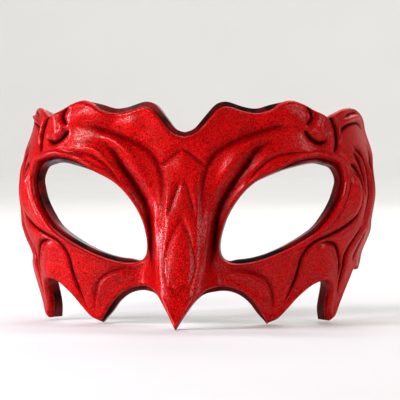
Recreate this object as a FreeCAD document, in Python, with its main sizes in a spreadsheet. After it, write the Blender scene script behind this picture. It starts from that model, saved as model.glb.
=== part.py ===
import FreeCAD, Part
import math
import os

# Venetian half mask: a moulded face over a soft-touch lining, bound edges, foam pads and two strap loops.
# Millimetres. X is left to right, the face looks along -Y, Z is up. The lowest tips stand at Z = 0.

Vec = FreeCAD.Vector
Flat = FreeCAD.Base.Vector2d
doc = FreeCAD.newDocument("venetian_half_mask")

# ---------------------------------------------------------------- driving sizes
SIZES = [
    # reach of the plan curve
    ("turn_total", 86.5, "heading of the temple, degrees from straight across"),
    ("turn_where", 83.0, "distance round the face at which the temple turns back"),
    ("turn_sharp", 4.2, "how suddenly it turns"),
    # nose column and beak
    ("nose_reach", 30.5, "how far the beak stands out at its tip"),
    ("nose_top", 92.0, "height at which the nose column fades out"),
    ("nose_fade", 1.75, "how quickly it sinks towards the brow"),
    ("nose_half", 15.0, "half width of the nose column"),
    ("nose_square", 3.0, "squareness of its section at the beak"),
    ("nose_squarer", 1.5, "how much squarer it is at eye level"),
    ("nose_square_up", 35.0, "height at which it is that square"),
    ("crown_lean", 9.0, "how far the brow leans back at its top"),
    ("crown_from", 68.0, "height at which the brow starts to lean back"),
    ("crown_over", 42.0, "height over which it does so"),
    ("middle_back", 16.2, "the notch stands this far in front of the middle of the footprint"),
    # layers, measured from the painted front
    ("face_thick", 3.6, "moulded face"),
    ("glue_line", 0.1, "film between layers"),
    ("lining_thick", 3.2, "lining"),
    ("binding_width", 1.4, "width of the bound edge, seen from the back"),
    ("binding_proud", 0.6, "how far the binding stands behind the lining"),
    ("flare_top", 2.4, "how far the bound edge spreads past the face above the brow"),
    ("flare_arch", 2.1, "how far it spreads into the arches beside the nose"),
    ("flare_eye", 1.9, "how far it closes in round the eye"),
    ("pad_thick", 4.0, "foam pads"),
    ("seam", 0.06, "gap between the lining and the binding round it"),
    # strap hardware
    ("hinge_round", 113.0, "distance round the face to the hinge"),
    ("hinge_up", 89.5, "height of the middle of the hinge"),
    ("plate_long", 14.0, "bracket plate, front to back"),
    ("plate_high", 20.0, "bracket plate height"),
    ("plate_rest", 0.8, "gap taken up by the lining under the middle of the plate"),
    ("plate_thick", 1.6, "bracket plate thickness"),
    ("axis_off", 2.9, "hinge axis to the plate's inner face"),
    ("ear_radius", 2.4, "outside radius of the two ears"),
    ("ear_thick", 2.4, "thickness of each ear"),
    ("pin_radius", 1.0, "hinge pin"),
    ("pin_play", 0.06, "running clearance round the pin"),
    ("pin_head_radius", 1.7, "rolled ends of the pin"),
    ("pin_head_thick", 0.7, "thickness of the rolled ends"),
    ("loop_play", 0.2, "gap between each end of the loop barrel and its ear"),
    ("barrel_radius", 2.2, "loop barrel outside radius"),
    ("barrel_half", 7.4, "half length of the loop barrel"),
    ("arm_thick", 1.8, "thickness of the loop's two arms"),
    ("arm_wide", 2.2, "width of the loop's two arms"),
    ("bar_radius", 1.3, "loop's far bar"),
    ("slot_reach", 10.0, "hinge axis to the middle of the loop's far bar"),
    ("screw_spread", 11.0, "distance between the two bracket screws"),
    ("screw_edge", 3.2, "middle of the screws to the free end of the plate"),
    ("bore_room", 0.6, "depth of the screw holes past the tips of the screws"),
    ("screw_radius", 1.0, "screw thread"),
    ("screw_hole", 1.05, "screw hole"),
    ("screw_length", 5.0, "screw thread length under the head"),
    ("screw_head_radius", 1.9, "screw head"),
    ("screw_head_thick", 1.1, "screw head height"),
    ("screw_drive", 0.9, "half width across the hex recess"),
    ("screw_drive_deep", 0.7, "depth of the hex recess"),
]
sheet = doc.addObject("Spreadsheet::Sheet", "sizes")
for row, (alias, value, note) in enumerate(SIZES, start=1):
    sheet.set("A%d" % row, alias)
    sheet.set("B%d" % row, str(value))
    sheet.setAlias("B%d" % row, alias)
    sheet.set("C%d" % row, note)
doc.recompute()


def size(alias):
    return float(sheet.get(alias))


# ---------------------------------------------------------------- the face surface
# A point on the face is named by U, the distance round the face from the middle, and V, its height.
PLAN_STEP = 0.5
PLAN_END = 150.0
GRID = 3.0
U_END = 138.0
V_LOW = -9.0
V_HIGH = 117.0

# share of the brow's lean at the middle, and the distance round the face at which it is all there
CROWN_MIDDLE = 0.35
CROWN_WIDE = 45.0

# height against width factor: the face is widest at eye level
WIDTHS = [(-12, 0.86), (4, 0.88), (30, 0.94), (46, 0.99), (62, 1.012), (78, 0.995), (95, 0.95), (120, 0.85)]

# Broad relief: (points, half width, height). Positive stands out, negative is a furrow.
RELIEF = [
    # brow bump and the furrow under it
    ([(46, 99), (53, 101), (60, 99)], 9.0, 2.0),
    ([(64, 95), (55, 92.5), (46, 92.5), (38, 89), (30, 84.5), (23, 80), (16, 75)], 3.6, -1.5),
    # furrow that follows the eye
    ([(60, 85.5), (50, 83.5), (42, 79), (34, 72.5), (27, 66), (21.5, 58), (17, 48), (15.6, 38)], 3.2, -1.3),
    # cheek furrow and cheek swell
    ([(84, 45), (76, 39.5), (70, 35), (64, 28), (60, 20), (54, 11)], 3.4, -1.4),
    ([(84, 33), (80, 26), (73, 22)], 7.0, 1.5),
    # panel over the arch beside the nose
    ([(22, 27), (30, 25.5), (37, 23), (41, 18), (42, 10)], 3.0, -0.9),
    # temple ridges running down behind the eye
    ([(92, 96), (95, 88), (96, 76), (95, 64), (90, 52), (84, 46)], 4.5, 1.8),
    ([(106, 96), (108, 84), (108, 68), (104, 52), (98, 40), (97, 26)], 5.0, 1.6),
    ([(100, 92), (102, 78), (101, 62), (97, 48), (91, 38), (90, 24)], 3.0, -1.0),
]


def ease(t):
    t = min(max(t, 0.0), 1.0)
    return t * t * (3.0 - 2.0 * t)


def heading(u):
    return math.radians(size("turn_total")) * (1.0 - math.exp(-((u / size("turn_where")) ** size("turn_sharp"))))


def trace_plan():
    across, back = [0.0], [0.0]
    for i in range(int(PLAN_END / PLAN_STEP)):
        angle = heading((i + 0.5) * PLAN_STEP)
        across.append(across[-1] + math.cos(angle) * PLAN_STEP)
        back.append(back[-1] + math.sin(angle) * PLAN_STEP)
    return across, back


PLAN_ACROSS, PLAN_BACK = trace_plan()


def along(table, u):
    place = abs(u) / PLAN_STEP
    i = min(int(place), len(table) - 2)
    return table[i] + (table[i + 1] - table[i]) * (place - i)


def width_factor(v):
    for (low, a), (high, b) in zip(WIDTHS, WIDTHS[1:]):
        if v <= high:
            return a + (b - a) * ease((v - low) / (high - low))
    return WIDTHS[-1][1]


def plain(u, v):
    """The face without its nose or relief."""
    side = -1.0 if u < 0 else 1.0
    crown = ease((v - size("crown_from")) / size("crown_over"))
    crown *= CROWN_MIDDLE + (1.0 - CROWN_MIDDLE) * ease(abs(u) / CROWN_WIDE)
    x = side * along(PLAN_ACROSS, u) * width_factor(v)
    y = along(PLAN_BACK, u) - size("middle_back") + size("crown_lean") * crown
    return Vec(x, y, v)


def inward(u, v):
    step = 0.5
    round_way = plain(u + step, v) - plain(u - step, v)
    up_way = plain(u, v + step) - plain(u, v - step)
    normal = up_way.cross(round_way)
    return normal.normalize()


def stroke_height(u, v):
    total = 0.0
    for points, half, height in RELIEF:
        best = 1e9
        for (ua, va), (ub, vb) in zip(points, points[1:]):
            du, dv = ub - ua, vb - va
            t = ((abs(u) - ua) * du + (v - va) * dv) / (du * du + dv * dv)
            t = min(max(t, 0.0), 1.0)
            best = min(best, math.hypot(abs(u) - ua - t * du, v - va - t * dv))
        total += height * math.exp(-((best / half) ** 2))
    return total


def on_face(u, v, depth):
    nose = size("nose_reach") * min(max(1.0 - v / size("nose_top"), 0.0), 1.2) ** size("nose_fade")
    square = size("nose_square") + size("nose_squarer") * ease(v / size("nose_square_up"))
    stand = nose * math.exp(-((abs(plain(u, v).x) / size("nose_half")) ** square))
    return plain(u, v) + Vec(0, -stand, 0) + inward(u, v) * (depth - stroke_height(u, v))


GRID_U = [-U_END + GRID * i for i in range(int(2 * U_END / GRID) + 1)]
GRID_V = [V_LOW + GRID * i for i in range(int((V_HIGH - V_LOW) / GRID) + 1)]
FACE_GRID = [[on_face(u, v, 0.0) for v in GRID_V] for u in GRID_U]
IN_GRID = [[inward(u, v) for v in GRID_V] for u in GRID_U]
made_surfaces = {}


def face_surface(depth):
    """A cubic surface at one depth. Its two parameters are U and V in millimetres."""
    if depth not in made_surfaces:
        poles = [[p + n * depth for p, n in zip(prow, nrow)] for prow, nrow in zip(FACE_GRID, IN_GRID)]
        nu, nv = len(GRID_U), len(GRID_V)
        knots_u = [GRID_U[0] + GRID * (i - 2) for i in range(nu + 4)]
        knots_v = [GRID_V[0] + GRID * (i - 2) for i in range(nv + 4)]
        surface = Part.BSplineSurface()
        surface.buildFromPolesMultsKnots(poles, [1] * (nu + 4), [1] * (nv + 4), knots_u, knots_v,
                                         False, False, 3, 3)
        surface.segment(knots_u[3] + 0.01, knots_u[-4] - 0.01, knots_v[3] + 0.01, knots_v[-4] - 0.01)
        made_surfaces[depth] = surface
    return made_surfaces[depth]


def flat_curves(runs):
    curves = []
    for run in runs:
        if len(run) == 2:
            curves.append(Part.Geom2d.Line2dSegment(Flat(*run[0]), Flat(*run[1])))
        else:
            curve = Part.Geom2d.BSplineCurve2d()
            closed = math.dist(run[0], run[-1]) < 1e-6
            points = [Flat(*p) for p in (run[:-1] if closed else run)]
            curve.interpolate(Points=points, PeriodicFlag=closed)
            curves.append(curve)
    return curves


def layer(runs, near, far):
    """The solid between two depths inside a closed outline, with its edge walls square to the face."""
    front, back = face_surface(near), face_surface(far)
    front_edges = [c.toShape(front) for c in flat_curves(runs)]
    back_edges = [c.toShape(back) for c in flat_curves(runs)]
    faces = [Part.Face(front, Part.Wire(front_edges)), Part.Face(back, Part.Wire(back_edges))]
    faces += [Part.makeRuledSurface(a, b) for a, b in zip(front_edges, back_edges)]
    shell = Part.Shell(faces)
    shell.sewShape()
    solid = Part.Solid(Part.Shell(shell.Faces))
    if solid.Volume < 0:
        solid.reverse()
    return solid


# ---------------------------------------------------------------- outlines in U and V
# Each run is smooth. Runs meet at the corners: notch, shoulder, wing tip, fang tips, beak tip.
EDGE_RUNS = [
    [(0, 90), (6, 92), (13, 99), (18, 103.5), (23, 104.5), (30, 102.5), (37, 101.5), (44, 103), (50, 106),
     (56, 107.5), (62, 106), (68, 102.5), (75, 99)],
    [(75, 99), (80, 101.5), (88, 103.5), (97, 104), (106, 103), (114, 100), (120, 94)],
    [(120, 94), (123, 86), (124, 74), (123.5, 58), (122, 43), (118, 32), (111, 24)],
    [(111, 24), (105, 26), (100, 24), (97, 18), (94, 10), (90, 3.5), (85, 1)],
    [(85, 1), (83, 6), (82.5, 12), (81, 17), (77.5, 20), (73, 20.5), (68, 18.5), (62, 13.5), (57, 8), (52, 3.5),
     (46, 1)],
    [(46, 1), (42, 6.5), (37, 12), (31, 16), (25, 18), (19, 18.5), (14, 17.5), (10, 14), (5, 7.5), (0, 0)],
]
EYE_RUN = [(64, 80.5), (54, 78.5), (44, 73.5), (35, 69), (28, 63), (22.5, 55), (19, 46), (18, 38), (20, 32),
           (26, 29.5), (36, 30.5), (47, 34), (58, 39.5), (68, 46.5), (75, 55), (79.5, 65), (81, 71), (78, 77),
           (71, 79.5), (64, 80.5)]
BROW_PAD = [(0, 84), (8, 87), (14, 92), (21, 97.5), (30, 96.5), (40, 96), (46, 94), (46.5, 89.5), (40, 85.5),
            (30, 82.5), (20, 78), (9, 75.5), (0, 75)]
NOSE_PAD = [(13.2, 62), (10.5, 56), (9, 48), (8.6, 40), (10.4, 35), (13.4, 35), (14.8, 40), (15.4, 48), (16.6, 56),
            (16.4, 61), (13.2, 62)]
CHEEK_PAD = [(46.5, 11), (53, 12.5), (60, 18), (67, 23), (74, 26.5), (79, 33), (79.5, 42), (76, 45), (70, 41.5),
             (62, 36), (54, 31.8), (46, 28.4), (42, 23), (43, 15), (46.5, 11)]
TEMPLE_PAD = [(85, 82), (85, 89), (87, 95), (91, 98), (96, 97.5), (99, 94), (99.5, 86), (97.5, 80), (91, 78),
              (85, 82)]


def halved(run):
    """The run with a point in the middle of each span, on a smooth line through the four points round it."""
    if run[0] == run[-1]:
        before, after = run[-2], run[1]
    else:
        before = tuple(2 * p - q for p, q in zip(run[0], run[1]))
        after = tuple(2 * p - q for p, q in zip(run[-1], run[-2]))
    knots = [before] + run + [after]
    result = []
    for a, b, c, d in zip(knots, knots[1:], knots[2:], knots[3:]):
        result += [b, tuple((9 * (q + r) - p - s) / 16 for p, q, r, s in zip(a, b, c, d))]
    return result + [run[-1]]


def ramp(value, start, end):
    """0 at the start, 1 at the end, smooth between them. The end may be the lower one."""
    return ease((value - start) / (end - start))


# Where the bound edge spreads, as (start, full) distances round the face.
HALF_UP = 60.0
BROW_SPREAD = (53.0, 43.0)
ARCH_SPREAD = (8.0, 17.0)
ARCH_SPREAD_ENDS = (48.5, 40.5)
# The long axis of the eye: a point on it and its slope. The spread is told by the height over it.
EYE_AXIS = (20.0, 35.0)
EYE_SLOPE = 0.58
EYE_OVER = 6.0
LOWER_LID = (21.0, 28.0)
UPPER_LID = (44.0, 56.0)
UPPER_SHARE = 0.9
OUTER_CORNER = (72.0, 78.0)
OUTER_SHARE = 0.6


def edge_flare(point):
    """How far the bound edge spreads outwards past the painted face at a point of its outline."""
    across, up = abs(point[0]), point[1]
    if up > HALF_UP:
        return size("flare_top") * ramp(across, *BROW_SPREAD)
    return size("flare_arch") * ramp(across, *ARCH_SPREAD) * ramp(across, *ARCH_SPREAD_ENDS)


def eye_flare(point):
    """The same round the eye: along the lower lid, over the outer end and down the outer corner."""
    across, up = abs(point[0]), point[1]
    over = up - (EYE_AXIS[1] + EYE_SLOPE * (across - EYE_AXIS[0]))
    lower = ease(-over / EYE_OVER) * ramp(across, *LOWER_LID)
    upper = UPPER_SHARE * ease(over / EYE_OVER) * ramp(across, *UPPER_LID)
    return size("flare_eye") * max(lower, upper, OUTER_SHARE * ramp(across, *OUTER_CORNER))


def mirrored(run):
    return [(-u, v) for u, v in reversed(run)]


def whole(half_runs):
    return half_runs + [mirrored(run) for run in reversed(half_runs)]


MITRE_LEAST = 0.55    # a corner moves at most 1 / this times the offset


def shifted(runs, amount):
    """Every point moved square to the outline, into the face; corners move along their mitre."""
    count = len(runs)
    result = []

    def way(a, b):
        length = math.dist(a, b)
        return ((b[0] - a[0]) / length, (b[1] - a[1]) / length)

    def moved(point, before, after):
        nx, ny = before[1] + after[1], -before[0] - after[0]
        length = math.hypot(nx, ny)
        nx, ny = nx / length, ny / length
        square = max(nx * before[1] - ny * before[0], MITRE_LEAST)
        by = amount(point) / square
        return (point[0] + nx * by, point[1] + ny * by)

    for i, run in enumerate(runs):
        last, following = runs[i - 1], runs[(i + 1) % count]
        line = []
        for j, point in enumerate(run):
            before = way(run[j - 1], point) if j else way(last[-2], last[-1])
            after = way(point, run[j + 1]) if j < len(run) - 1 else way(following[0], following[1])
            line.append(moved(point, before, after))
        result.append(line)
    return result


parts = []


def keep(label, shape):
    item = doc.addObject("Part::Feature", label)
    item.Label = label
    item.Shape = shape
    parts.append(item)
    return item


# ---------------------------------------------------------------- layers of the mask
FACE_BACK = size("face_thick")
LINING_FRONT = FACE_BACK + size("glue_line")
LINING_BACK = LINING_FRONT + size("lining_thick")
BINDING_BACK = LINING_BACK + size("binding_proud")
PAD_FRONT = LINING_BACK + size("glue_line")
PAD_BACK = PAD_FRONT + size("pad_thick")
CLEAR = 6.0           # cutting shapes stand this far past what they cut
OVERCUT = 1.0
WIDTH = size("binding_width")
SEAM = size("seam")

outline = whole([halved(run) for run in EDGE_RUNS])
eye = halved(EYE_RUN)

liner_outline = shifted(outline, lambda point: WIDTH + SEAM)
binding_inner = shifted(outline, lambda point: WIDTH)
binding_outer = shifted(outline, lambda point: -edge_flare(point))


def closed_offset(run, amount):
    """A closed outline moved square to itself. A positive amount makes the hole larger."""
    ring = run[:-1]
    count = len(ring)
    line = []
    for j, point in enumerate(ring):
        before, after = ring[j - 1], ring[(j + 1) % count]
        length = math.dist(before, after)
        nx, ny = (after[1] - before[1]) / length, -(after[0] - before[0]) / length
        by = amount(point)
        line.append((point[0] + nx * by, point[1] + ny * by))
    return line + [line[0]]


def hinge_frame(side):
    """Where the hinge axis sits: its own Z runs up the temple and its own X points out through the wall."""
    u, v = side * size("hinge_round"), size("hinge_up")
    outward = inward(u, v) * -side
    up = plain(u, v + 2) - plain(u, v - 2)
    turn = FreeCAD.Rotation(outward, Vec(), up, "XZY")
    stand_off = LINING_BACK + size("plate_rest") + size("plate_thick") + size("axis_off")
    return FreeCAD.Placement(plain(u, v) + inward(u, v) * stand_off, turn)


def screw_sites(side):
    frame = hinge_frame(side)
    y = -size("plate_long") + size("ear_radius") + size("screw_edge")
    return [(frame, Vec(0, y, z)) for z in (-size("screw_spread") / 2, size("screw_spread") / 2)]


def screw_bores(side):
    x_start = side * size("axis_off")
    length = size("plate_thick") + size("screw_length") + size("bore_room")
    bores = []
    for frame, place in screw_sites(side):
        bore = Part.makeCylinder(size("screw_hole"), length, Vec(x_start, place.y, place.z), Vec(side, 0, 0))
        bore.Placement = frame.multiply(bore.Placement)
        bores.append(bore)
    return bores


def both(shape):
    return [shape, shape.mirror(Vec(), Vec(1, 0, 0))]


def keep_both(label, shape):
    for side_name, piece in zip(("right", "left"), both(shape)):
        keep("%s_%s" % (label, side_name), piece)


eye_through = both(layer([eye], -CLEAR, BINDING_BACK + CLEAR))
eye_seam = closed_offset(eye, lambda point: WIDTH + SEAM)
eye_wide = both(layer([eye_seam], FACE_BACK - OVERCUT, BINDING_BACK + CLEAR))
eye_flared = closed_offset(eye, lambda point: -eye_flare(point))
eye_narrow = layer([eye_flared], FACE_BACK - OVERCUT, BINDING_BACK + CLEAR)
all_bores = screw_bores(1) + screw_bores(-1)

keep("face_shell", layer(outline, 0.0, FACE_BACK).cut(eye_through + all_bores))
keep("inner_lining", layer(liner_outline, LINING_FRONT, LINING_BACK).cut(eye_wide + all_bores))
binding_core = layer(binding_inner, FACE_BACK - OVERCUT, BINDING_BACK + OVERCUT)
keep("edge_binding", layer(binding_outer, LINING_FRONT, BINDING_BACK).cut(binding_core))
eye_ring = layer([closed_offset(eye, lambda point: WIDTH)], LINING_FRONT, BINDING_BACK)
keep_both("eye_binding", eye_ring.cut(eye_narrow))

brow = [BROW_PAD + mirrored(BROW_PAD)[1:]]
keep("brow_pad", layer(brow, PAD_FRONT, PAD_BACK))
for label, run in (("nose_pad", NOSE_PAD), ("cheek_pad", CHEEK_PAD), ("temple_pad", TEMPLE_PAD)):
    keep_both(label, layer([run], PAD_FRONT, PAD_BACK))


# ---------------------------------------------------------------- strap hardware
def bind(item, **rules):
    for name, rule in rules.items():
        item.setExpression(name, rule)
    return item


def box(name, long, wide, high, x, y, z):
    item = doc.addObject("Part::Box", name)
    return bind(item, **{"Length": long, "Width": wide, "Height": high, ".Placement.Base.x": x,
                         ".Placement.Base.y": y, ".Placement.Base.z": z})


def rod(name, radius, length, x, y, z, turn=None):
    item = doc.addObject("Part::Cylinder", name)
    if turn:
        item.Placement.Rotation = turn
    return bind(item, **{"Radius": radius, "Height": length, ".Placement.Base.x": x,
                         ".Placement.Base.y": y, ".Placement.Base.z": z})


def join(name, items):
    item = doc.addObject("Part::MultiFuse", name)
    item.Shapes = items
    return item


def take(name, base, tools):
    tool = tools[0] if len(tools) == 1 else join(name + "_tools", tools)
    item = doc.addObject("Part::Cut", name)
    item.Base = base
    item.Tool = tool
    return item


def hang(item, side):
    """Puts a finished piece, drawn about the hinge axis, on its side of the mask."""
    item.Placement = hinge_frame(side)
    parts.append(item)


def shape_hardware(name, side):
    end = "_" + name
    outward = FreeCAD.Rotation(Vec(0, 1, 0), 90 * side)
    backward = FreeCAD.Rotation(Vec(1, 0, 0), -90)
    face = "%d * sizes.axis_off" % side
    ear_z = "sizes.barrel_half + sizes.loop_play"
    holes_y = "sizes.ear_radius + sizes.screw_edge - sizes.plate_long"

    # bracket: a plate on the lining with two ears that carry the pin
    plate_x = "sizes.axis_off" if side > 0 else "-sizes.axis_off - sizes.plate_thick"
    plate = box("plate" + end, "sizes.plate_thick", "sizes.plate_long", "sizes.plate_high", plate_x,
                "sizes.ear_radius - sizes.plate_long", "-sizes.plate_high / 2")
    solids = [plate]
    for n, z in enumerate((ear_z, "-(%s) - sizes.ear_thick" % ear_z)):
        solids.append(rod("ear%d%s" % (n, end), "sizes.ear_radius", "sizes.ear_thick", "0", "0", z))
        root_x = "0" if side > 0 else "-sizes.axis_off - sizes.loop_play"
        solids.append(box("ear_root%d%s" % (n, end), "sizes.axis_off + sizes.loop_play", "2 * sizes.ear_radius",
                          "sizes.ear_thick", root_x, "-sizes.ear_radius", z))
    bores = [rod("pin_bore" + end, "sizes.pin_radius", "sizes.plate_high + 4", "0", "0",
                 "-sizes.plate_high / 2 - 2")]
    for n, sign in enumerate((-1, 1)):
        bores.append(rod("screw_bore%d%s" % (n, end), "sizes.screw_hole", "sizes.plate_thick + 2",
                         "%s - %d" % (face, side), holes_y, "%d * sizes.screw_spread / 2" % sign, outward))
    bracket = take("temple_bracket" + end, join("bracket_body" + end, solids), bores)

    # hinge pin with rolled ends
    reach = "(sizes.barrel_half + sizes.loop_play + sizes.ear_thick)"
    pin = join("hinge_pin" + end, [
        rod("pin_shank" + end, "sizes.pin_radius", "2 * " + reach, "0", "0", "-" + reach),
        rod("pin_top" + end, "sizes.pin_head_radius", "sizes.pin_head_thick", "0", "0", reach),
        rod("pin_foot" + end, "sizes.pin_head_radius", "sizes.pin_head_thick", "0", "0",
            "-" + reach + " - sizes.pin_head_thick"),
    ])

    # strap loop: a barrel round the pin, two arms and a far bar
    loop_solids = [
        rod("barrel" + end, "sizes.barrel_radius", "2 * sizes.barrel_half", "0", "0", "-sizes.barrel_half"),
        rod("far_bar" + end, "sizes.bar_radius", "2 * sizes.barrel_half", "0", "sizes.slot_reach",
            "-sizes.barrel_half"),
    ]
    for n, z in enumerate(("sizes.barrel_half - sizes.arm_wide", "-sizes.barrel_half")):
        loop_solids.append(box("arm%d%s" % (n, end), "sizes.arm_thick", "sizes.slot_reach", "sizes.arm_wide",
                               "-sizes.arm_thick / 2", "0", z))
    loop_bore = rod("loop_bore" + end, "sizes.pin_radius + sizes.pin_play", "2 * sizes.barrel_half + 4", "0", "0",
                    "-sizes.barrel_half - 2")
    loop = take("strap_loop" + end, join("loop_body" + end, loop_solids), [loop_bore])

    # two screws through the plate into the face
    screws = []
    for n, sign in enumerate((-1, 1)):
        z = "%d * sizes.screw_spread / 2" % sign
        head_x = "%d * (sizes.axis_off - sizes.screw_head_thick)" % side
        body = join("screw_body%d%s" % (n, end), [
            rod("screw_head%d%s" % (n, end), "sizes.screw_head_radius", "sizes.screw_head_thick", head_x, holes_y, z,
                outward),
            rod("screw_shank%d%s" % (n, end), "sizes.screw_radius", "sizes.plate_thick + sizes.screw_length", face,
                holes_y, z, outward),
        ])
        drive = doc.addObject("Part::Prism", "screw_drive%d%s" % (n, end))
        drive.Polygon = 6
        drive.Placement.Rotation = outward
        bind(drive, **{"Circumradius": "sizes.screw_drive / cos(30)", "Height": "sizes.screw_drive_deep + 1",
                       ".Placement.Base.x": "%s - %d" % (head_x, side), ".Placement.Base.y": holes_y,
                       ".Placement.Base.z": z})
        screws.append(take("screw%d%s" % (n, end), body, [drive]))
    pair = doc.addObject("Part::Compound", "bracket_screws" + end)
    pair.Links = screws
    return [bracket, pin, loop, pair]


for name, side in (("right", 1), ("left", -1)):
    for item in shape_hardware(name, side):
        hang(item, side)

# ---------------------------------------------------------------- check and write
doc.recompute()
os.makedirs("parts", exist_ok=True)
for item in doc.Objects:
    troubles = [s for s in item.State if s in ("Invalid", "Error")]
    if troubles:
        raise RuntimeError("%s is %s" % (item.Label, troubles))
for side in (1, -1):
    frame = hinge_frame(side)
    print("hinge", side, [round(c, 3) for c in frame.Base], [round(c, 5) for c in frame.Rotation.multVec(Vec(0, 0, 1))],
          [round(c, 5) for c in frame.Rotation.multVec(Vec(0, 1, 0))])
for item in parts:
    shape = item.Shape
    if shape.isNull() or not shape.isValid() or not shape.Solids:
        raise RuntimeError("%s has no valid solid" % item.Label)
    shape.exportStep("parts/%s.step" % item.Label)
    b = shape.optimalBoundingBox()
    print("%-22s %2d solids %9.1f mm3  X %.1f..%.1f  Y %.1f..%.1f  Z %.1f..%.1f" % (
        item.Label, len(shape.Solids), shape.Volume, b.XMin, b.XMax, b.YMin, b.YMax, b.ZMin, b.ZMax))
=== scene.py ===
"""Venetian half mask: carved red face, dark bound edges, soft pads and metal strap loops."""
import bpy
import bmesh
import math
import numpy as np
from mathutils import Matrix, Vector
from mathutils.geometry import delaunay_2d_cdt
from mathutils.kdtree import KDTree


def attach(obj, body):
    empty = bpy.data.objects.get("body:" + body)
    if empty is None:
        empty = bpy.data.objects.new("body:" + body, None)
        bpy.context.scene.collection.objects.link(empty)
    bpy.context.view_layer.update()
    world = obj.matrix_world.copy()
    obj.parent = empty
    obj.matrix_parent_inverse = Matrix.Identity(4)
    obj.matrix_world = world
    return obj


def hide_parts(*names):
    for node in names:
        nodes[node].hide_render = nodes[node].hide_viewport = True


MM = 0.001
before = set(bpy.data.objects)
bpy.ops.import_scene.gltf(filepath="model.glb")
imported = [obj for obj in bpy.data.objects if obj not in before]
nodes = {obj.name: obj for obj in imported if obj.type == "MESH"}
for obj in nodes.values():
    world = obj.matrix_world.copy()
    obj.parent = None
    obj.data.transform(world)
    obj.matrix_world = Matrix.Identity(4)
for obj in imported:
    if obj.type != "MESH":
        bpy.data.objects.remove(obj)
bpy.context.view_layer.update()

# ---------------------------------------------------------------- the face surface, in millimetres
# A point on the face is named by u, the distance round the face from the middle, and v, its height.
TURN_TOTAL = math.radians(86.5)
TURN_WHERE = 83.0
TURN_SHARP = 4.2
NOSE_REACH = 30.5
NOSE_TOP = 92.0
NOSE_FADE = 1.75
NOSE_HALF = 15.0
NOSE_SQUARE = 3.0
NOSE_SQUARER = 1.5
NOSE_SQUARE_UP = 35.0
CROWN_LEAN = 9.0
MIDDLE_BACK = 16.2
FACE_THICK = 3.6
CROWN_FROM = 68.0     # height at which the brow starts to lean back
CROWN_OVER = 42.0     # height over which it takes up its lean
CROWN_MIDDLE = 0.35   # share of the lean at the middle
CROWN_WIDE = 45.0     # distance round the face at which the lean is all there
# height against width factor
WIDTHS = np.array([(-12, 0.86), (4, 0.88), (30, 0.94), (46, 0.99), (62, 1.012), (78, 0.995), (95, 0.95),
                   (120, 0.85)])

PLAN_STEP = 0.25
PLAN_COUNT = 600
plan_middles = (np.arange(PLAN_COUNT) + 0.5) * PLAN_STEP
plan_turn = TURN_TOTAL * (1 - np.exp(-((plan_middles / TURN_WHERE) ** TURN_SHARP)))
PLAN_U = np.arange(PLAN_COUNT + 1) * PLAN_STEP
PLAN_ACROSS = np.concatenate([[0], np.cumsum(np.cos(plan_turn)) * PLAN_STEP])
PLAN_BACK = np.concatenate([[0], np.cumsum(np.sin(plan_turn)) * PLAN_STEP])


def ease(t):
    t = np.clip(t, 0.0, 1.0)
    return t * t * (3.0 - 2.0 * t)


def width_factor(v):
    result = np.full(np.shape(v), WIDTHS[0, 1])
    for (low, a), (high, b) in zip(WIDTHS, WIDTHS[1:]):
        result = np.where(v >= low, a + (b - a) * ease((v - low) / (high - low)), result)
    return result


def plain(u, v):
    """The face without its nose or relief, for arrays of u and v."""
    crown = ease((v - CROWN_FROM) / CROWN_OVER)
    lean = CROWN_MIDDLE + (1 - CROWN_MIDDLE) * ease(np.abs(u) / CROWN_WIDE)
    x = np.sign(u) * np.interp(np.abs(u), PLAN_U, PLAN_ACROSS) * width_factor(v)
    y = np.interp(np.abs(u), PLAN_U, PLAN_BACK) - MIDDLE_BACK
    y = y + CROWN_LEAN * crown * lean
    return np.stack([x, y, v], -1)


def inward(u, v):
    step = 0.5
    around = plain(u + step, v) - plain(u - step, v)
    upward = plain(u, v + step) - plain(u, v - step)
    normal = np.cross(upward, around)
    return normal / np.linalg.norm(normal, axis=-1, keepdims=True)


def on_face(u, v, depth):
    """Points at a depth behind the plain front. A negative depth stands out."""
    base = plain(u, v)
    nose = NOSE_REACH * np.clip(1 - v / NOSE_TOP, 0, 1.2) ** NOSE_FADE
    square = NOSE_SQUARE + NOSE_SQUARER * ease(v / NOSE_SQUARE_UP)
    base[..., 1] -= nose * np.exp(-((np.abs(base[..., 0]) / NOSE_HALF) ** square))
    return base + inward(u, v) * np.asarray(depth)[..., None]


# ---------------------------------------------------------------- outlines of the right half, in u and v
EDGE_RUNS = [
    [(0, 90), (6, 92), (13, 99), (18, 103.5), (23, 104.5), (30, 102.5), (37, 101.5), (44, 103), (50, 106),
     (56, 107.5), (62, 106), (68, 102.5), (75, 99)],
    [(75, 99), (80, 101.5), (88, 103.5), (97, 104), (106, 103), (114, 100), (120, 94)],
    [(120, 94), (123, 86), (124, 74), (123.5, 58), (122, 43), (118, 32), (111, 24)],
    [(111, 24), (105, 26), (100, 24), (97, 18), (94, 10), (90, 3.5), (85, 1)],
    [(85, 1), (83, 6), (82.5, 12), (81, 17), (77.5, 20), (73, 20.5), (68, 18.5), (62, 13.5), (57, 8), (52, 3.5),
     (46, 1)],
    [(46, 1), (42, 6.5), (37, 12), (31, 16), (25, 18), (19, 18.5), (14, 17.5), (10, 14), (5, 7.5), (0, 0)],
]
EYE_RUN = [(64, 80.5), (54, 78.5), (44, 73.5), (35, 69), (28, 63), (22.5, 55), (19, 46), (18, 38), (20, 32),
           (26, 29.5), (36, 30.5), (47, 34), (58, 39.5), (68, 46.5), (75, 55), (79.5, 65), (81, 71), (78, 77),
           (71, 79.5)]

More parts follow.
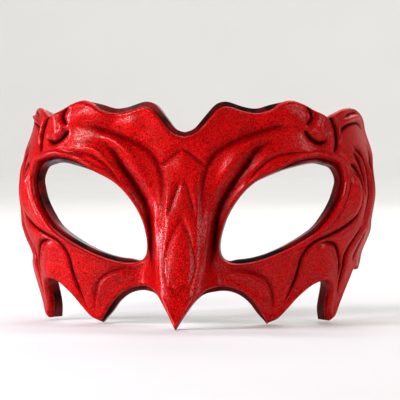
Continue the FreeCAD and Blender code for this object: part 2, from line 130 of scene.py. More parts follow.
# ---------------------------------------------------------------- carved lines of the right half
# (kind, points, half width, height, taper at the start, taper at the end)
# valley: a broad soft hollow with a narrower core. cut: a narrow sharp furrow. ridge: a raised line.
# fold: high on the left of its direction, with a steep drop to the right. swell: a broad rise.
CARVING = [
    # brow: two near lines that run down beside the nose column
    ("swell", [(45, 100), (52, 101.5), (59, 100)], 7.0, 1.7, 0, 0),
    ("cut", [(58, 97.5), (47, 97.5), (35, 94), (24, 89), (17, 84)], 0.7, 0.5, 0.3, 0.4),
    ("valley", [(59, 94), (48, 94.5), (37, 92), (26, 88), (17, 83), (12, 76), (9.5, 66), (9.5, 52),
                (10.5, 40), (10, 28)], 1.35, 0.95, 0.15, 0.5),
    ("swell", [(18, 94), (27, 97), (37, 98)], 5.0, 0.7, 0.5, 0.5),
    ("swell", [(46, 91), (36, 88), (26, 80), (18, 68), (13, 56)], 3.2, 1.2, 0.3, 0.3),
    # round the eye: a deep valley that ends beside the nose, the lid's crease and a line round the rim
    ("valley", [(57, 88.5), (46, 88), (36, 84), (30, 76), (23, 66.5), (17.5, 56), (16, 44), (15.5, 32),
                (12.5, 20.5)], 1.5, 1.3, 0.35, 0.2),
    ("cut", [(18.5, 58), (16.5, 51), (15.5, 42), (15.5, 33)], 0.65, 1.4, 0.4, 0.4),
    ("cut", [(66, 82.5), (54, 82.5), (44, 80.5), (36, 74.5), (30, 67.5), (25.5, 63)], 0.75, 0.95, 0.3, 0.3),
    ("ridge", [(52, 85), (43, 83), (36, 76.5), (31.5, 71.5)], 1.3, 0.5, 0.4, 0.4),
    ("ridge", [(13.5, 58), (13, 40), (13, 23)], 1.4, 0.8, 0.3, 0.3),
    ("cut", [(76, 81.5), (83, 77.5), (84, 68), (78, 54.5), (70, 45.5), (60, 40)], 0.6, 0.8, 0.35, 0.45),
    # lobe beside the brow
    ("swell", [(70, 99.5), (68, 94.5)], 4.2, 2.1, 0, 0),
    ("cut", [(63.5, 104.5), (64.5, 99.5), (61, 94.5)], 0.9, 1.5, 0.1, 0.2),
    ("cut", [(60, 94), (63, 89.5), (68, 87), (73, 89.5), (75, 92.5)], 0.85, 2.0, 0.15, 0.5),
    ("ridge", [(62.5, 94.5), (65.5, 91), (70.5, 91)], 1.0, 0.8, 0.3, 0.4),
    ("cut", [(75, 99.5), (78.5, 93.5), (77.5, 86.5), (73, 80.5)], 0.75, 2.0, 0, 0.3),
    ("ridge", [(77.5, 99.5), (81, 93), (79.5, 86)], 1.2, 1.0, 0.1, 0.3),
    # horn: a rolled lip with a crease under it
    ("cut", [(80.5, 87.5), (83, 93), (91, 95.5), (103, 96), (113, 91.5)], 0.85, 1.45, 0.2, 0.3),
    ("ridge", [(81.5, 95), (90, 98), (100, 99), (109, 97.5)], 1.0, 1.2, 0.25, 0.3),
    ("cut", [(84, 98), (94, 101), (106, 101)], 0.8, 1.2, 0.3, 0.3),
    # temple: slots that open towards the back, the leaf between them and the eye, and the line under it
    ("cut", [(87, 86), (97, 81), (104, 73), (105.5, 62), (102.5, 51.5), (97, 46.5)], 1.1, 2.25, 0.2, 0.3),
    ("cut", [(86.5, 84), (94, 77), (98.5, 69), (99, 57)], 1.0, 1.7, 0.2, 0.4),
    ("swell", [(90, 83), (99, 75), (102.5, 65)], 1.6, 0.6, 0.3, 0.3),
    ("cut", [(84.5, 77.5), (92, 73), (96.5, 65), (97.5, 59.5)], 0.95, 1.9, 0.15, 0.4),
    ("swell", [(87, 72), (89.5, 64), (88.5, 57), (85.5, 52.5)], 4.0, 1.6, 0.2, 0.3),
    ("cut", [(84.5, 76), (91, 70), (95, 60), (92.5, 52), (84, 47.5), (73, 43), (64, 39), (60, 32), (57.5, 21),
             (55, 12), (51, 3.5)], 0.8, 1.6, 0.1, 0.2),
    ("fold", [(55, 12), (57.5, 21), (60, 32), (64, 39), (73, 43)], 2.6, 0.8, 0.3, 0.3),
    # back of the temple
    ("ridge", [(104, 80), (110, 68), (109.5, 54), (98, 41.5)], 2.2, 1.4, 0.2, 0.2),
    ("valley", [(110.5, 90), (115.5, 75), (114, 54), (106.5, 39.5)], 1.5, 1.7, 0.35, 0.35),
    ("ridge", [(116.5, 88), (118.5, 68), (111.5, 41)], 1.8, 0.9, 0.3, 0.3),
    # lower temple and wing
    ("cut", [(103, 49), (93, 41), (88, 32), (87, 20), (88.5, 9)], 0.85, 1.8, 0.25, 0.3),
    ("fold", [(90, 20), (91, 31), (97, 39), (105, 46.5)], 2.4, 1.1, 0.3, 0.3),
    ("cut", [(108.5, 45), (104, 36), (97.5, 28)], 1.1, 1.9, 0.3, 0.25),
    # cheek petal: a rounded rise inside a raised rim
    ("swell", [(73, 33.5), (74.5, 28.5), (73.5, 24)], 5.2, 1.5, 0, 0),
    ("cut", [(65.5, 36.5), (70, 39.5), (77.5, 38), (83.5, 31), (83.5, 20.5)], 0.75, 1.5, 0.3, 0.2),
    ("ridge", [(66.5, 34.5), (73, 37), (79, 33), (81.5, 28.5)], 0.8, 0.7, 0.3, 0.3),
    # panel over the arch beside the nose: it steps up from the cheek
    ("fold", [(48, 5.5), (46, 15.5), (40, 22.5), (29, 25.5), (17.5, 24)], 3.0, 1.1, 0.2, 0.4),
    ("valley", [(17.5, 24.5), (29, 26.5), (40.5, 23.5), (47, 16), (49, 5.5)], 0.85, 0.8, 0.4, 0.2),
    # nose column: dome, diagonals, the long leaf and the hollow of the beak
    ("valley", [(11, 76), (7, 79), (3, 82.5), (0, 84)], 0.85, 0.75, 0.1, 0),
    ("swell", [(0, 83), (0, 68)], 3.6, 0.5, 0.5, 0.5),
    ("valley", [(0.5, 72), (3, 63.5), (7.5, 49.5)], 0.9, 0.7, 0.3, 0.35),
    ("valley", [(0, 50.5), (4, 43.5), (7.5, 31), (6.5, 23), (3, 14)], 0.75, 0.6, 0, 0.4),
    ("swell", [(0, 48), (0, 20)], 4.4, 0.45, 0.5, 0.5),
    ("valley", [(0, 17), (2.5, 18.5), (5, 23)], 1.3, 0.4, 0, 0.5),
    # small fold under the notch
    ("valley", [(12, 95.5), (6, 90.5), (0, 88.5)], 0.55, 0.55, 0.3, 0),
]

GRAIN = 0.62          # spacing of the face mesh
LIP = 1.3             # radius of the rounded front edge
EYE_LIP = 0.55        # raised lip round the eye
EDGE_LIP = 0.35       # raised lip round the outline
DEEPEST = 2.4         # no furrow is deeper than this
LINE_STEP = 1.2       # spacing of the points along a carved line
BACK_GAP = 0.15       # the mesh's back lies this far in front of the CAD face's back
LIP_IN = 1.4          # a raised lip's crest is this far in from the edge
LIP_HALF = 1.2
CALM_WITHIN = 2.5     # the relief dies away over this distance from an edge
CALM_LEAST = 0.35     # share of the relief that is left at the edge
WALL_LEVELS = 4
WALL_TINT = 0.3       # how far the paint on the walls is darkened
HOLLOW_FULL = 1.7     # depth of carving at which the painted shade is darkest


def smooth_line(points, closed=False, step=0.5):
    """A Catmull-Rom line through the points, in even short steps."""
    p = np.array(points, float)
    if closed:
        p = np.vstack([p[-1:], p, p[:2]])
    elif len(p) > 2:
        p = np.vstack([2 * p[0] - p[1], p, 2 * p[-1] - p[-2]])
    else:
        return np.linspace(p[0], p[1], max(2, int(np.linalg.norm(p[1] - p[0]) / step)))
    line = []
    for a, b, c, d in zip(p, p[1:], p[2:], p[3:]):
        count = max(2, int(np.linalg.norm(c - b) / step))
        t = (np.arange(count) / count)[:, None]
        line.append(0.5 * (2 * b + (c - a) * t + (2 * a - 5 * b + 4 * c - d) * t ** 2
                           + (3 * b - a - 3 * c + d) * t ** 3))
    if not closed:
        line.append(p[-2][None])
    return np.vstack(line)


def from_line(points, line, closed=False):
    """Distance from each point to a line, its side (left positive) and its place along the line, 0 to 1."""
    ends = np.roll(line, -1, 0) if closed else line[1:]
    starts = line if closed else line[:-1]
    spans = np.linalg.norm(ends - starts, axis=1)
    before = np.concatenate([[0], np.cumsum(spans)])[:-1]
    best = np.full(len(points), 1e9)
    side = np.zeros(len(points))
    place = np.zeros(len(points))
    for a, b, span, start in zip(starts, ends, spans, before):
        way = (b - a) / span
        rel = points - a
        t = np.clip(rel @ way, 0, span)
        gap = rel - t[:, None] * way
        distance = np.hypot(gap[:, 0], gap[:, 1])
        closer = distance < best
        best = np.where(closer, distance, best)
        cross = way[0] * rel[:, 1] - way[1] * rel[:, 0]
        side = np.where(closer, np.sign(cross), side)
        place = np.where(closer, (start + t) / spans.sum(), place)
    return best, side, place


def carve(points):
    """Height of the relief and how deep in a furrow each point lies."""
    raised = np.zeros(len(points))
    cubes = np.zeros(len(points))
    for kind, knots, width, amount, fade_in, fade_out in CARVING:
        line = smooth_line(knots, step=LINE_STEP)
        reach = width * 7 + 1
        low, high = line.min(0) - reach, line.max(0) + reach
        near = np.all((points > low) & (points < high), axis=1)
        distance, side, place = from_line(points[near], line)
        fade = np.ones(len(distance))
        if fade_in:
            fade *= ease(place / fade_in)
        if fade_out:
            fade *= ease((1 - place) / fade_out)
        narrow = width * (0.65 + 0.35 * fade)
        if kind == "valley":
            core = np.exp(-((distance / narrow) ** 2))
            broad = np.exp(-((distance / (2.7 * narrow)) ** 2))
            cubes[near] += (amount * fade * (0.5 * core + 0.5 * broad)) ** 3
        elif kind == "cut":
            core = np.exp(-((distance / (0.75 * narrow)) ** 1.6))
            broad = np.exp(-((distance / (2.4 * narrow)) ** 2))
            cubes[near] += (amount * fade * (0.7 * core + 0.3 * broad)) ** 3
        elif kind == "fold":
            across = side * distance
            crest = np.exp(-np.maximum(across, 0.0) / narrow) * ease(0.5 + across / 1.1)
            raised[near] += amount * fade * crest
        else:
            raised[near] += amount * fade * np.exp(-((distance / narrow) ** 2))
    # furrows that cross run into each other and never go right through
    drop = np.minimum(np.cbrt(cubes), DEEPEST)
    return raised - drop, drop / HOLLOW_FULL


def half_face():
    """The right half as flat points, triangles and the loops of its boundary."""
    outline = np.vstack([smooth_line(run, step=GRAIN)[:-1] for run in EDGE_RUNS])
    tip, notch = np.array(EDGE_RUNS[-1][-1], float), np.array(EDGE_RUNS[0][0], float)
    middle = np.linspace(tip, notch, int((notch[1] - tip[1]) / GRAIN))[:-1]
    eye = smooth_line(EYE_RUN, closed=True, step=GRAIN)
    edge = np.vstack([outline, middle])
    high = edge.max(0)
    row = GRAIN * math.sqrt(3) / 2
    grid = []
    for j in range(int(high[1] / row) + 1):
        us = np.arange(GRAIN * (0.5 if j % 2 else 1.0), high[0], GRAIN)
        grid.append(np.stack([us, np.full(len(us), j * row)], 1))
    grid = np.vstack(grid)
    grid = grid[inside(grid, edge) & ~inside(grid, eye)]
    clear = np.minimum(from_line(grid, edge, True)[0], from_line(grid, eye, True)[0])
    grid = grid[clear > 0.55 * GRAIN]
    points = np.vstack([edge, eye, grid])
    n_edge, n_eye = len(edge), len(eye)
    links = [(i, (i + 1) % n_edge) for i in range(n_edge)]
    links += [(n_edge + i, n_edge + (i + 1) % n_eye) for i in range(n_eye)]
    flat, _, faces, _, _, _ = delaunay_2d_cdt([Vector(p) for p in points], links, [], 0, 1e-6)
    if len(flat) != len(points):
        raise ValueError("the outline crosses itself")
    tris = np.array([f[:] for f in faces])
    middle_of = points[tris].mean(1)
    tris = tris[inside(middle_of, edge) & ~inside(middle_of, eye)]
    return points, tris, len(outline), n_edge, n_eye


def inside(points, loop):
    """Which points lie inside a closed loop."""
    result = np.zeros(len(points), bool)
    for (xa, ya), (xb, yb) in zip(loop, np.roll(loop, -1, 0)):
        if ya != yb:
            crosses = (ya > points[:, 1]) != (yb > points[:, 1])
            result ^= crosses & (points[:, 0] < (xb - xa) * (points[:, 1] - ya) / (yb - ya) + xa)
    return result


def wall(upper, lower, closed):
    """Four-sided faces between two rows of vertex numbers."""
    row = np.stack([upper, lower, np.roll(lower, -1), np.roll(upper, -1)], 1)
    return row if closed else row[:-1]


def build_face():
    """The whole carved face: front, back and walls of the right half, mirrored and joined in the middle."""
    points, tris, n_outline, n_edge, n_eye = half_face()
    outline = points[:n_outline + 1]
    eye = points[n_edge:n_edge + n_eye]
    height, shade_and_wall_tint = carve(points)
    from_edge = from_line(points, outline)[0]
    from_eye = from_line(points, eye, True)[0]
    # the relief dies away at the edges, the eye has a raised lip, and both edges are rounded
    gap = np.minimum(from_edge, from_eye)
    height *= CALM_LEAST + (1 - CALM_LEAST) * ease(gap / CALM_WITHIN)
    height += EYE_LIP * np.exp(-(((from_eye - LIP_IN) / LIP_HALF) ** 2))
    height += EDGE_LIP * np.exp(-(((from_edge - LIP_IN) / LIP_HALF) ** 2))
    height -= LIP - np.sqrt(LIP ** 2 - (LIP - np.clip(gap, 0, LIP)) ** 2)
    u, v = points[:, 0], points[:, 1]
    back_depth = FACE_THICK - BACK_GAP
    n = len(points)
    layers = [on_face(u, v, -height), on_face(u, v, np.full(n, back_depth))]
    faces = [tris, tris[:, ::-1] + n]
    offset = 2 * n
    # the walls follow two loops: the outline, open at the middle plane, and the eye, which is closed
    for first, last, closed in ((0, n_outline + 1, False), (n_edge, n_edge + n_eye, True)):
        loop = np.arange(first, last)
        start = np.maximum(-height[loop], LIP * 0.9)
        rows = [loop]
        for k in range(1, WALL_LEVELS):
            layers.append(on_face(u[loop], v[loop], start + (back_depth - start) * k / WALL_LEVELS))
            rows.append(np.arange(len(loop)) + offset)
            offset += len(loop)
        rows.append(loop + n)
        faces += [wall(upper, lower, closed) for upper, lower in zip(rows, rows[1:])]
    right = np.vstack(layers)
    count = len(right)
    # front: how deep each point lies in a furrow, which the lacquer paints darker, partly a dark wash in the
    # furrows and partly painted shade; walls: their darker paint; back: none
    tint = np.full(count, WALL_TINT)
    tint[:n] = shade_and_wall_tint
    tint[n:2 * n] = 0
    vertices = np.vstack([right, right * np.array([-1.0, 1.0, 1.0])]) * MM
    polygons = []
    for block in faces:
        polygons += block.tolist()
        polygons += (block[:, ::-1] + count).tolist()
    mesh = bpy.data.meshes.new("carved_face")
    mesh.from_pydata(vertices.tolist(), [], polygons)
    layer = mesh.attributes.new("shade_and_wall_tint", "FLOAT", "POINT")
    layer.data.foreach_set("value", np.concatenate([tint, tint]).astype(np.float32))
    shape = bmesh.new()
    shape.from_mesh(mesh)
    on_middle = [x for x in shape.verts if abs(x.co.x) < 1e-7]
    bmesh.ops.remove_doubles(shape, verts=on_middle, dist=2e-6)
    bmesh.ops.recalc_face_normals(shape, faces=shape.faces)
    shape.to_mesh(mesh)
    shape.free()
    mesh.polygons.foreach_set("use_smooth", [True] * len(mesh.polygons))
    piece = bpy.data.objects.new("carved_face", mesh)
    bpy.context.scene.collection.objects.link(piece)
    return piece


# the sewn border of a pad, in millimetres
SEAM_IN = 2.7         # the sewn line runs this far in from the rim
SEAM_DEEP = 0.75
SEAM_HALF = 0.75
PAD_CROWN = 0.9       # the middle stands this much higher than the border
PAD_RISE = 4.0        # distance over which it rises


# ---------------------------------------------------------------- materials
class Nodes:
    """A short way to write a material's node tree. A setting named in_X feeds the node's input X."""

    def __init__(self, name):
        self.material = bpy.data.materials.new(name)
        self.material.use_nodes = True
        self.tree = self.material.node_tree
        self.shader = self.tree.nodes["Principled BSDF"]
        self.place = self.make("ShaderNodeTexCoord").outputs["Object"]

    def make(self, kind, **settings):
        node = self.tree.nodes.new(kind)
        for name, value in settings.items():
            if name.startswith("in_"):
                key = name[3:].replace("_", " ")
                self.feed(node.inputs[int(key) if key.isdigit() else key], value)
            else:
                setattr(node, name, value)
        return node

    def feed(self, socket, value):
        if isinstance(value, bpy.types.NodeSocket):
            self.tree.links.new(value, socket)
        else:
            socket.default_value = value

    def noise(self, scale, detail=2.0, roughness=0.5, stretch=None):
        place = self.place
        if stretch:
            place = self.make("ShaderNodeMapping", in_Vector=place, in_Scale=stretch).outputs[0]
        node = self.make("ShaderNodeTexNoise", in_Vector=place, in_Scale=scale, in_Detail=detail,
                         in_Roughness=roughness)
        return node.outputs["Fac"]

    def cells(self, scale):
        return self.make("ShaderNodeTexVoronoi", in_Vector=self.place, in_Scale=scale).outputs["Distance"]

    def attribute(self, name):
        return self.make("ShaderNodeAttribute", attribute_name=name).outputs["Fac"]

    def math(self, operation, a, b=0.0):
        node = self.make("ShaderNodeMath", operation=operation)
        self.feed(node.inputs[0], a)
        self.feed(node.inputs[1], b)
        return node.outputs[0]

    def span(self, value, low, high, to_low=0.0, to_high=1.0):
        node = self.make("ShaderNodeMapRange", clamp=True)
        for socket, number in zip(node.inputs, (value, low, high, to_low, to_high)):
            self.feed(socket, number)
        return node.outputs[0]

    def mix(self, amount, a, b):
        node = self.make("ShaderNodeMix", data_type="RGBA")
        self.feed(node.inputs["Factor"], amount)
        self.feed(node.inputs[6], a)
        self.feed(node.inputs[7], b)
        return node.outputs[2]

    def bump(self, height, strength, distance, under=None):
        node = self.make("ShaderNodeBump", in_Strength=strength, in_Distance=distance, in_Height=height)
        if under is not None:
            self.feed(node.inputs["Normal"], under)
        return node.outputs[0]

    def finish(self, **sockets):
        for name, value in sockets.items():
            self.feed(self.shader.inputs[name.replace("_", " ")], value)
        return self.material


def red_lacquer():
    m = Nodes("red_lacquer")
    hollow = m.attribute("shade_and_wall_tint")
    broad = m.noise(45, 3)
    grain = m.noise(1500, 3, 0.7)
    spark = m.noise(2300, 2, 0.6)
    fleck = m.cells(1700)
    streak = m.noise(420, 3, 0.6)
    red = m.mix(m.span(broad, 0.35, 0.65), (0.60, 0.0006, 0.0008, 1), (0.76, 0.0010, 0.0010, 1))
    red = m.mix(m.span(grain, 0.40, 0.60), (0.20, 0.0002, 0.0004, 1), red)
    # painted shade: the paint runs to near black towards the bottom of each furrow, with streaky edges; part of
    # it is a dark wash in the furrows, the rest is shade painted in
    depth = m.math("ADD", hollow, m.span(streak, 0.3, 0.7, -0.08, 0.08))
    shade = m.make("ShaderNodeMapRange", interpolation_type="SMOOTHSTEP", in_Value=depth, in_1=-0.02,
                   in_2=0.86)
    colour = m.mix(shade.outputs[0], red, (0.022, 0.0, 0.0004, 1))
    rough = m.math("ADD", m.span(grain, 0.35, 0.65, 0.34, 0.50), m.span(hollow, 0.2, 0.9, 0.0, 0.25))
    fine = m.bump(grain, 0.8, 0.0005)
    pebble = m.bump(fleck, 0.4, 0.00025, fine)
    coat = m.math("MULTIPLY", m.span(hollow, 0.1, 0.6, 1.0, 0.0), m.span(spark, 0.49, 0.60, 0.03, 0.95))
    return m.finish(Base_Color=colour, Metallic=0.62, Roughness=rough, Normal=pebble, Coat_Weight=coat,
                    Coat_Roughness=0.25, Coat_IOR=1.5, Specular_IOR_Level=0.04,
                    Specular_Tint=(1.0, 0.12, 0.14, 1))


def dark_edge():
    m = Nodes("dark_bound_edge")
    red_streaks = m.noise(260, 4, 0.65)
    cloud = m.noise(75, 2)
    # black with dark red clouds and streaks: the binding's own black-red lacquer, and partly a painted
    # reflection of the red face in the dark red
    colour = m.mix(m.span(cloud, 0.42, 0.56), (0.006, 0.0002, 0.0004, 1), (0.16, 0.0004, 0.001, 1))
    colour = m.mix(m.span(red_streaks, 0.5, 0.75, 0.0, 0.6), colour, (0.14, 0.0006, 0.0012, 1))
    rough = m.span(red_streaks, 0.3, 0.7, 0.34, 0.5)
    return m.finish(Base_Color=colour, Metallic=0.3, Roughness=rough, Normal=m.bump(red_streaks, 0.3, 0.00025),
                    Coat_Weight=0.12, Coat_Roughness=0.25, Specular_IOR_Level=0.2)


def lining_cloth():
    m = Nodes("flocked_lining")
    nap = m.noise(1100, 5, 0.75)
    patch = m.noise(70, 3)
    crease = m.noise(160, 4, 0.6)
    colour = m.mix(m.span(nap, 0.35, 0.7), (0.008, 0.006, 0.007, 1), (0.040, 0.034, 0.036, 1))
    colour = m.mix(m.span(patch, 0.4, 0.7, 0.0, 0.45), colour, (0.055, 0.040, 0.043, 1))
    folds = m.bump(crease, 0.35, 0.0012)
    return m.finish(Base_Color=colour, Roughness=m.span(patch, 0.3, 0.7, 0.86, 0.98),
                    Normal=m.bump(nap, 0.7, 0.0005, folds), Sheen_Weight=0.35, Sheen_Roughness=0.45)


def pad_cloth():
    m = Nodes("knitted_pad_cloth")
    wave_u = m.make("ShaderNodeTexWave", in_Vector=m.place, in_Scale=190, in_Distortion=0.8,
                    bands_direction="DIAGONAL").outputs["Fac"]
    wave_v = m.make("ShaderNodeTexWave", in_Vector=m.place, in_Scale=190, in_Distortion=0.8,
                    bands_direction="Z").outputs["Fac"]
    knit = m.math("MULTIPLY", wave_u, wave_v)
    fuzz = m.noise(1300, 4)
    colour = m.mix(knit, (0.022, 0.020, 0.021, 1), (0.12, 0.110, 0.115, 1))
    colour = m.mix(m.span(fuzz, 0.4, 0.7, 0.0, 0.4), colour, (0.15, 0.137, 0.143, 1))
    gap = m.attribute("rim_gap")
    seam = m.span(m.math("ABSOLUTE", m.math("SUBTRACT", gap, SEAM_IN)), 0.15, 0.55, 1.0, 0.0)
    colour = m.mix(seam, colour, (0.012, 0.010, 0.011, 1))
    weave = m.bump(knit, 0.6, 0.0006)
    return m.finish(Base_Color=colour, Roughness=m.span(fuzz, 0.3, 0.7, 0.8, 0.95),
                    Normal=m.bump(fuzz, 0.3, 0.0003, weave), Sheen_Weight=0.4, Sheen_Roughness=0.5)


def worn_metal(name, dark, bright, rough_low, rough_high, metallic):
    m = Nodes(name)
    cloud = m.noise(120, 4, 0.6)
    brush = m.noise(900, 2, 0.5, stretch=(1, 1, 0.08))
    colour = m.mix(m.span(cloud, 0.35, 0.7), dark, bright)
    rough = m.span(brush, 0.3, 0.7, rough_low, rough_high)
    return m.finish(Base_Color=colour, Metallic=metallic, Roughness=rough, Normal=m.bump(brush, 0.18, 0.0001))


def pale_floor():
    m = Nodes("pale_floor")
    soft = m.noise(6, 2)
    colour = m.mix(soft, (0.74, 0.73, 0.71, 1), (0.78, 0.77, 0.75, 1))
    return m.finish(Base_Color=colour, Roughness=0.75)


def paint(piece, material):
    if piece.material_slots:
        for place in piece.material_slots:
            place.material = material
    else:
        piece.data.materials.append(material)


# ---------------------------------------------------------------- pieces
METAL_ROUND = 0.00025  # metres
PAD_VOXEL = 0.001      # metres
PAD_SHRINK = 0.0006    # metres that a pad gives up before it swells
PAD_CAP = 0.0011       # metres that a point may swell


def soften(piece):
    """A small round on the edges of a CAD piece."""
    modifier = piece.modifiers.new("edge_round", "BEVEL")
    modifier.width = METAL_ROUND
    modifier.segments = 2
    modifier.limit_method = "ANGLE"
    modifier.angle_limit = math.radians(40)


def puff(piece):
    """Swells a copy of a pad with cloth pressure, and keeps each point within a short way of its start."""
    remesh = piece.modifiers.new("remesh", "REMESH")
    remesh.mode = "VOXEL"
    remesh.voxel_size = PAD_VOXEL
    apply_modifiers(piece)
    shrink(piece, PAD_SHRINK)
    start = points_of(piece)
    cloth = piece.modifiers.new("cloth", "CLOTH")
    cloth.settings.use_pressure = True
    cloth.settings.uniform_pressure_force = 4.0
    cloth.settings.quality = 4
    cloth.settings.mass = 0.2
    cloth.settings.effector_weights.gravity = 0.0
    for number in range(1, 21):
        bpy.context.scene.frame_set(number)
    apply_modifiers(piece)
    bpy.context.scene.frame_set(1)
    moved = points_of(piece) - start
    length = np.linalg.norm(moved, axis=1, keepdims=True)
    moved *= np.minimum(1.0, PAD_CAP / np.maximum(length, 1e-9))
    piece.data.vertices.foreach_set("co", (start + moved).astype(np.float32).ravel())
    smooth = piece.modifiers.new("smooth", "SMOOTH")
    smooth.factor = 0.5
    smooth.iterations = 6
    finer = piece.modifiers.new("finer", "SUBSURF")
    finer.levels = finer.render_levels = 1
    apply_modifiers(piece)
    piece.data.polygons.foreach_set("use_smooth", [True] * len(piece.data.polygons))


def sew(piece, rim):
    """A sunk seam round the border of a pad, and a soft rise inside it."""
    tree = KDTree(len(rim))
    for number, point in enumerate(rim):
        tree.insert(point, number)
    tree.balance()
    points = points_of(piece)
    gap = np.array([tree.find(p)[2] for p in points]) / MM
    seam = SEAM_DEEP * np.exp(-(((gap - SEAM_IN) / SEAM_HALF) ** 2))
    rise = PAD_CROWN * ease((gap - SEAM_IN) / PAD_RISE) - seam
    normals = np.zeros(len(points) * 3, np.float32)
    piece.data.vertices.foreach_get("normal", normals)
    moved = points + normals.reshape(-1, 3) * rise[:, None] * MM
    piece.data.vertices.foreach_set("co", moved.astype(np.float32).ravel())
    layer = piece.data.attributes.new("rim_gap", "FLOAT", "POINT")
    layer.data.foreach_set("value", gap.astype(np.float32))


def rim_of(piece):
    """Points every half millimetre along the sharp edges of a CAD piece."""
    shape = bmesh.new()
    shape.from_mesh(piece.data)
    bmesh.ops.remove_doubles(shape, verts=shape.verts, dist=1e-6)
    points = []
    for edge in shape.edges:
        if len(edge.link_faces) == 2 and edge.calc_face_angle() > math.radians(50):
            a, b = (x.co.copy() for x in edge.verts)
            count = max(1, int((b - a).length / (0.5 * MM)))
            points += [a.lerp(b, k / count) for k in range(count + 1)]
    shape.free()
    return points


def points_of(piece):
    flat = np.zeros(len(piece.data.vertices) * 3, np.float32)
    piece.data.vertices.foreach_get("co", flat)
    return flat.reshape(-1, 3).astype(float)


def shrink(piece, amount):
    normals = np.zeros(len(piece.data.vertices) * 3, np.float32)
    piece.data.vertices.foreach_get("normal", normals)
    moved = points_of(piece) - normals.reshape(-1, 3) * amount
    piece.data.vertices.foreach_set("co", moved.astype(np.float32).ravel())


def apply_modifiers(piece):
    graph = bpy.context.evaluated_depsgraph_get()
    mesh = bpy.data.meshes.new_from_object(piece.evaluated_get(graph))
    piece.modifiers.clear()
    old = piece.data
    piece.data = mesh
    bpy.data.meshes.remove(old)


red, edge_gloss, flock, knit = red_lacquer(), dark_edge(), lining_cloth(), pad_cloth()
black_steel = worn_metal("blackened_steel", (0.012, 0.012, 0.013, 1), (0.045, 0.044, 0.046, 1), 0.35, 0.5,
                         0.85)
nickel = worn_metal("dark_nickel", (0.26, 0.25, 0.24, 1), (0.40, 0.39, 0.37, 1), 0.22, 0.36, 1.0)
pin_steel = worn_metal("pin_steel", (0.42, 0.41, 0.40, 1), (0.56, 0.55, 0.53, 1), 0.2, 0.34, 1.0)

face = build_face()
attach(face, "mask")
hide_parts("face_shell")
paint(face, red)

for name, material in (("inner_lining", flock), ("edge_binding", edge_gloss), ("eye_binding", edge_gloss),
                       ("temple_bracket", black_steel), ("hinge_pin", pin_steel), ("strap_loop", nickel),
                       ("bracket_screws", pin_steel)):
    for node_name, node in nodes.items():
        if node_name.startswith(name):
            paint(node, material)
            if material in (black_steel, nickel, pin_steel):
                soften(node)

for node_name, node in nodes.items():
    if "_pad" in node_name:
        pad = bpy.data.objects.new("soft_" + node_name, node.data.copy())
        bpy.context.scene.collection.objects.link(pad)
        puff(pad)
        sew(pad, rim_of(node))
        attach(pad, "mask")
        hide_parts(node_name)
        paint(pad, knit)


# ---------------------------------------------------------------- studio
def area_light(name, place, target, width, height, power, colour=(1, 1, 1)):
    data = bpy.data.lights.new(name, "AREA")
    data.shape = "RECTANGLE"
    data.size, data.size_y = width, height
    data.energy = power
    data.color = colour
    light = bpy.data.objects.new(name, data)
    light.location = place
    light.rotation_euler = (Vector(target) - Vector(place)).to_track_quat("-Z", "Y").to_euler()
    bpy.context.scene.collection.objects.link(light)


FLOOR_REACH = 2.4
FLOOR_BEND = 0.8
WALL_TOP = 3.2
FLOOR_TURNS = 64


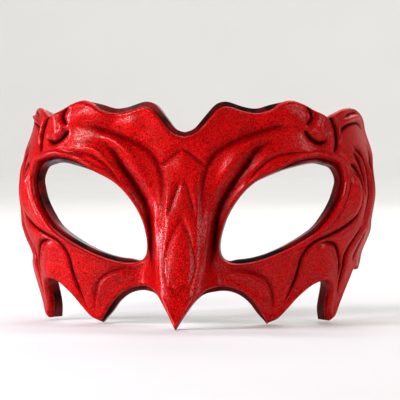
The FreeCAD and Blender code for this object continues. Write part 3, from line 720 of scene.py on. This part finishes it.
def backdrop():
    """A round floor that sweeps up into a wall on every side."""
    bend = [(FLOOR_REACH + FLOOR_BEND * math.sin(a), FLOOR_BEND * (1 - math.cos(a)))
            for a in np.linspace(0, math.pi / 2, 10)]
    profile = [(0.6, 0.0), (1.2, 0.0)] + bend + [(FLOOR_REACH + FLOOR_BEND, WALL_TOP)]
    count = FLOOR_TURNS
    turns = [2 * math.pi * k / count for k in range(count)]
    verts = [(0.0, 0.0, 0.0)] + [(r * math.cos(t), r * math.sin(t), z) for r, z in profile for t in turns]
    faces = [(0, 1 + k, 1 + (k + 1) % count) for k in range(count)]
    for row in range(len(profile) - 1):
        low, high = 1 + row * count, 1 + (row + 1) * count
        faces += [(low + k, high + k, high + (k + 1) % count, low + (k + 1) % count) for k in range(count)]
    mesh = bpy.data.meshes.new("floor")
    mesh.from_pydata(verts, [], faces)
    mesh.polygons.foreach_set("use_smooth", [True] * len(mesh.polygons))
    floor = bpy.data.objects.new("floor", mesh)
    bpy.context.scene.collection.objects.link(floor)
    paint(floor, pale_floor())


backdrop()
area_light("key_left", (-0.62, -0.8, 0.62), (0, 0, 0.05), 0.2, 0.2, 4.6, (1.0, 0.97, 0.95))
area_light("side_left", (-0.72, -0.22, 0.30), (-0.05, 0, 0.06), 0.14, 0.4, 7.5, (0.90, 0.84, 1.0))
area_light("front_fill", (0.85, -0.8, 0.8), (0, 0, 0.05), 0.6, 0.5, 4.6)
area_light("side_right", (0.8, 0.0, 0.3), (0.05, 0, 0.06), 0.14, 0.4, 0.8, (1.0, 0.92, 0.98))
area_light("back_fill", (0.1, 1.1, 0.75), (0, 0, 0.06), 0.8, 0.5, 4.0)
area_light("top_fill", (0, 0.5, 1.2), (0, 0.3, 0.0), 1.0, 0.8, 3.4)
area_light("wall_light", (0, 1.3, 2.2), (0, 3.2, 0.3), 2.0, 1.0, 45)

world = bpy.data.worlds.new("studio")
world.use_nodes = True
world.node_tree.nodes["Background"].inputs[0].default_value = (0.9, 0.92, 0.95, 1)
world.node_tree.nodes["Background"].inputs[1].default_value = 0.14
bpy.context.scene.world = world
bpy.context.scene.view_settings.view_transform = "Standard"

VIEW_AZIMUTH = math.radians(7.5)
VIEW_ELEVATION = math.radians(2.5)
VIEW_DISTANCE = 1.2
VIEW_LENS = 226.3
AIM = Vector((0.0, -MIDDLE_BACK * MM, 0.055))
level = math.cos(VIEW_ELEVATION)
away = Vector((math.sin(VIEW_AZIMUTH) * level, -math.cos(VIEW_AZIMUTH) * level, math.sin(VIEW_ELEVATION)))
camera_data = bpy.data.cameras.new("camera")
camera_data.sensor_width = 36
camera_data.lens = VIEW_LENS
camera_data.shift_x = 0.042
camera_data.shift_y = 0.025
camera = bpy.data.objects.new("camera", camera_data)
camera.location = AIM + away * VIEW_DISTANCE
camera.rotation_euler = (-away).to_track_quat("-Z", "Y").to_euler()
bpy.context.scene.collection.objects.link(camera)
bpy.context.scene.camera = camera
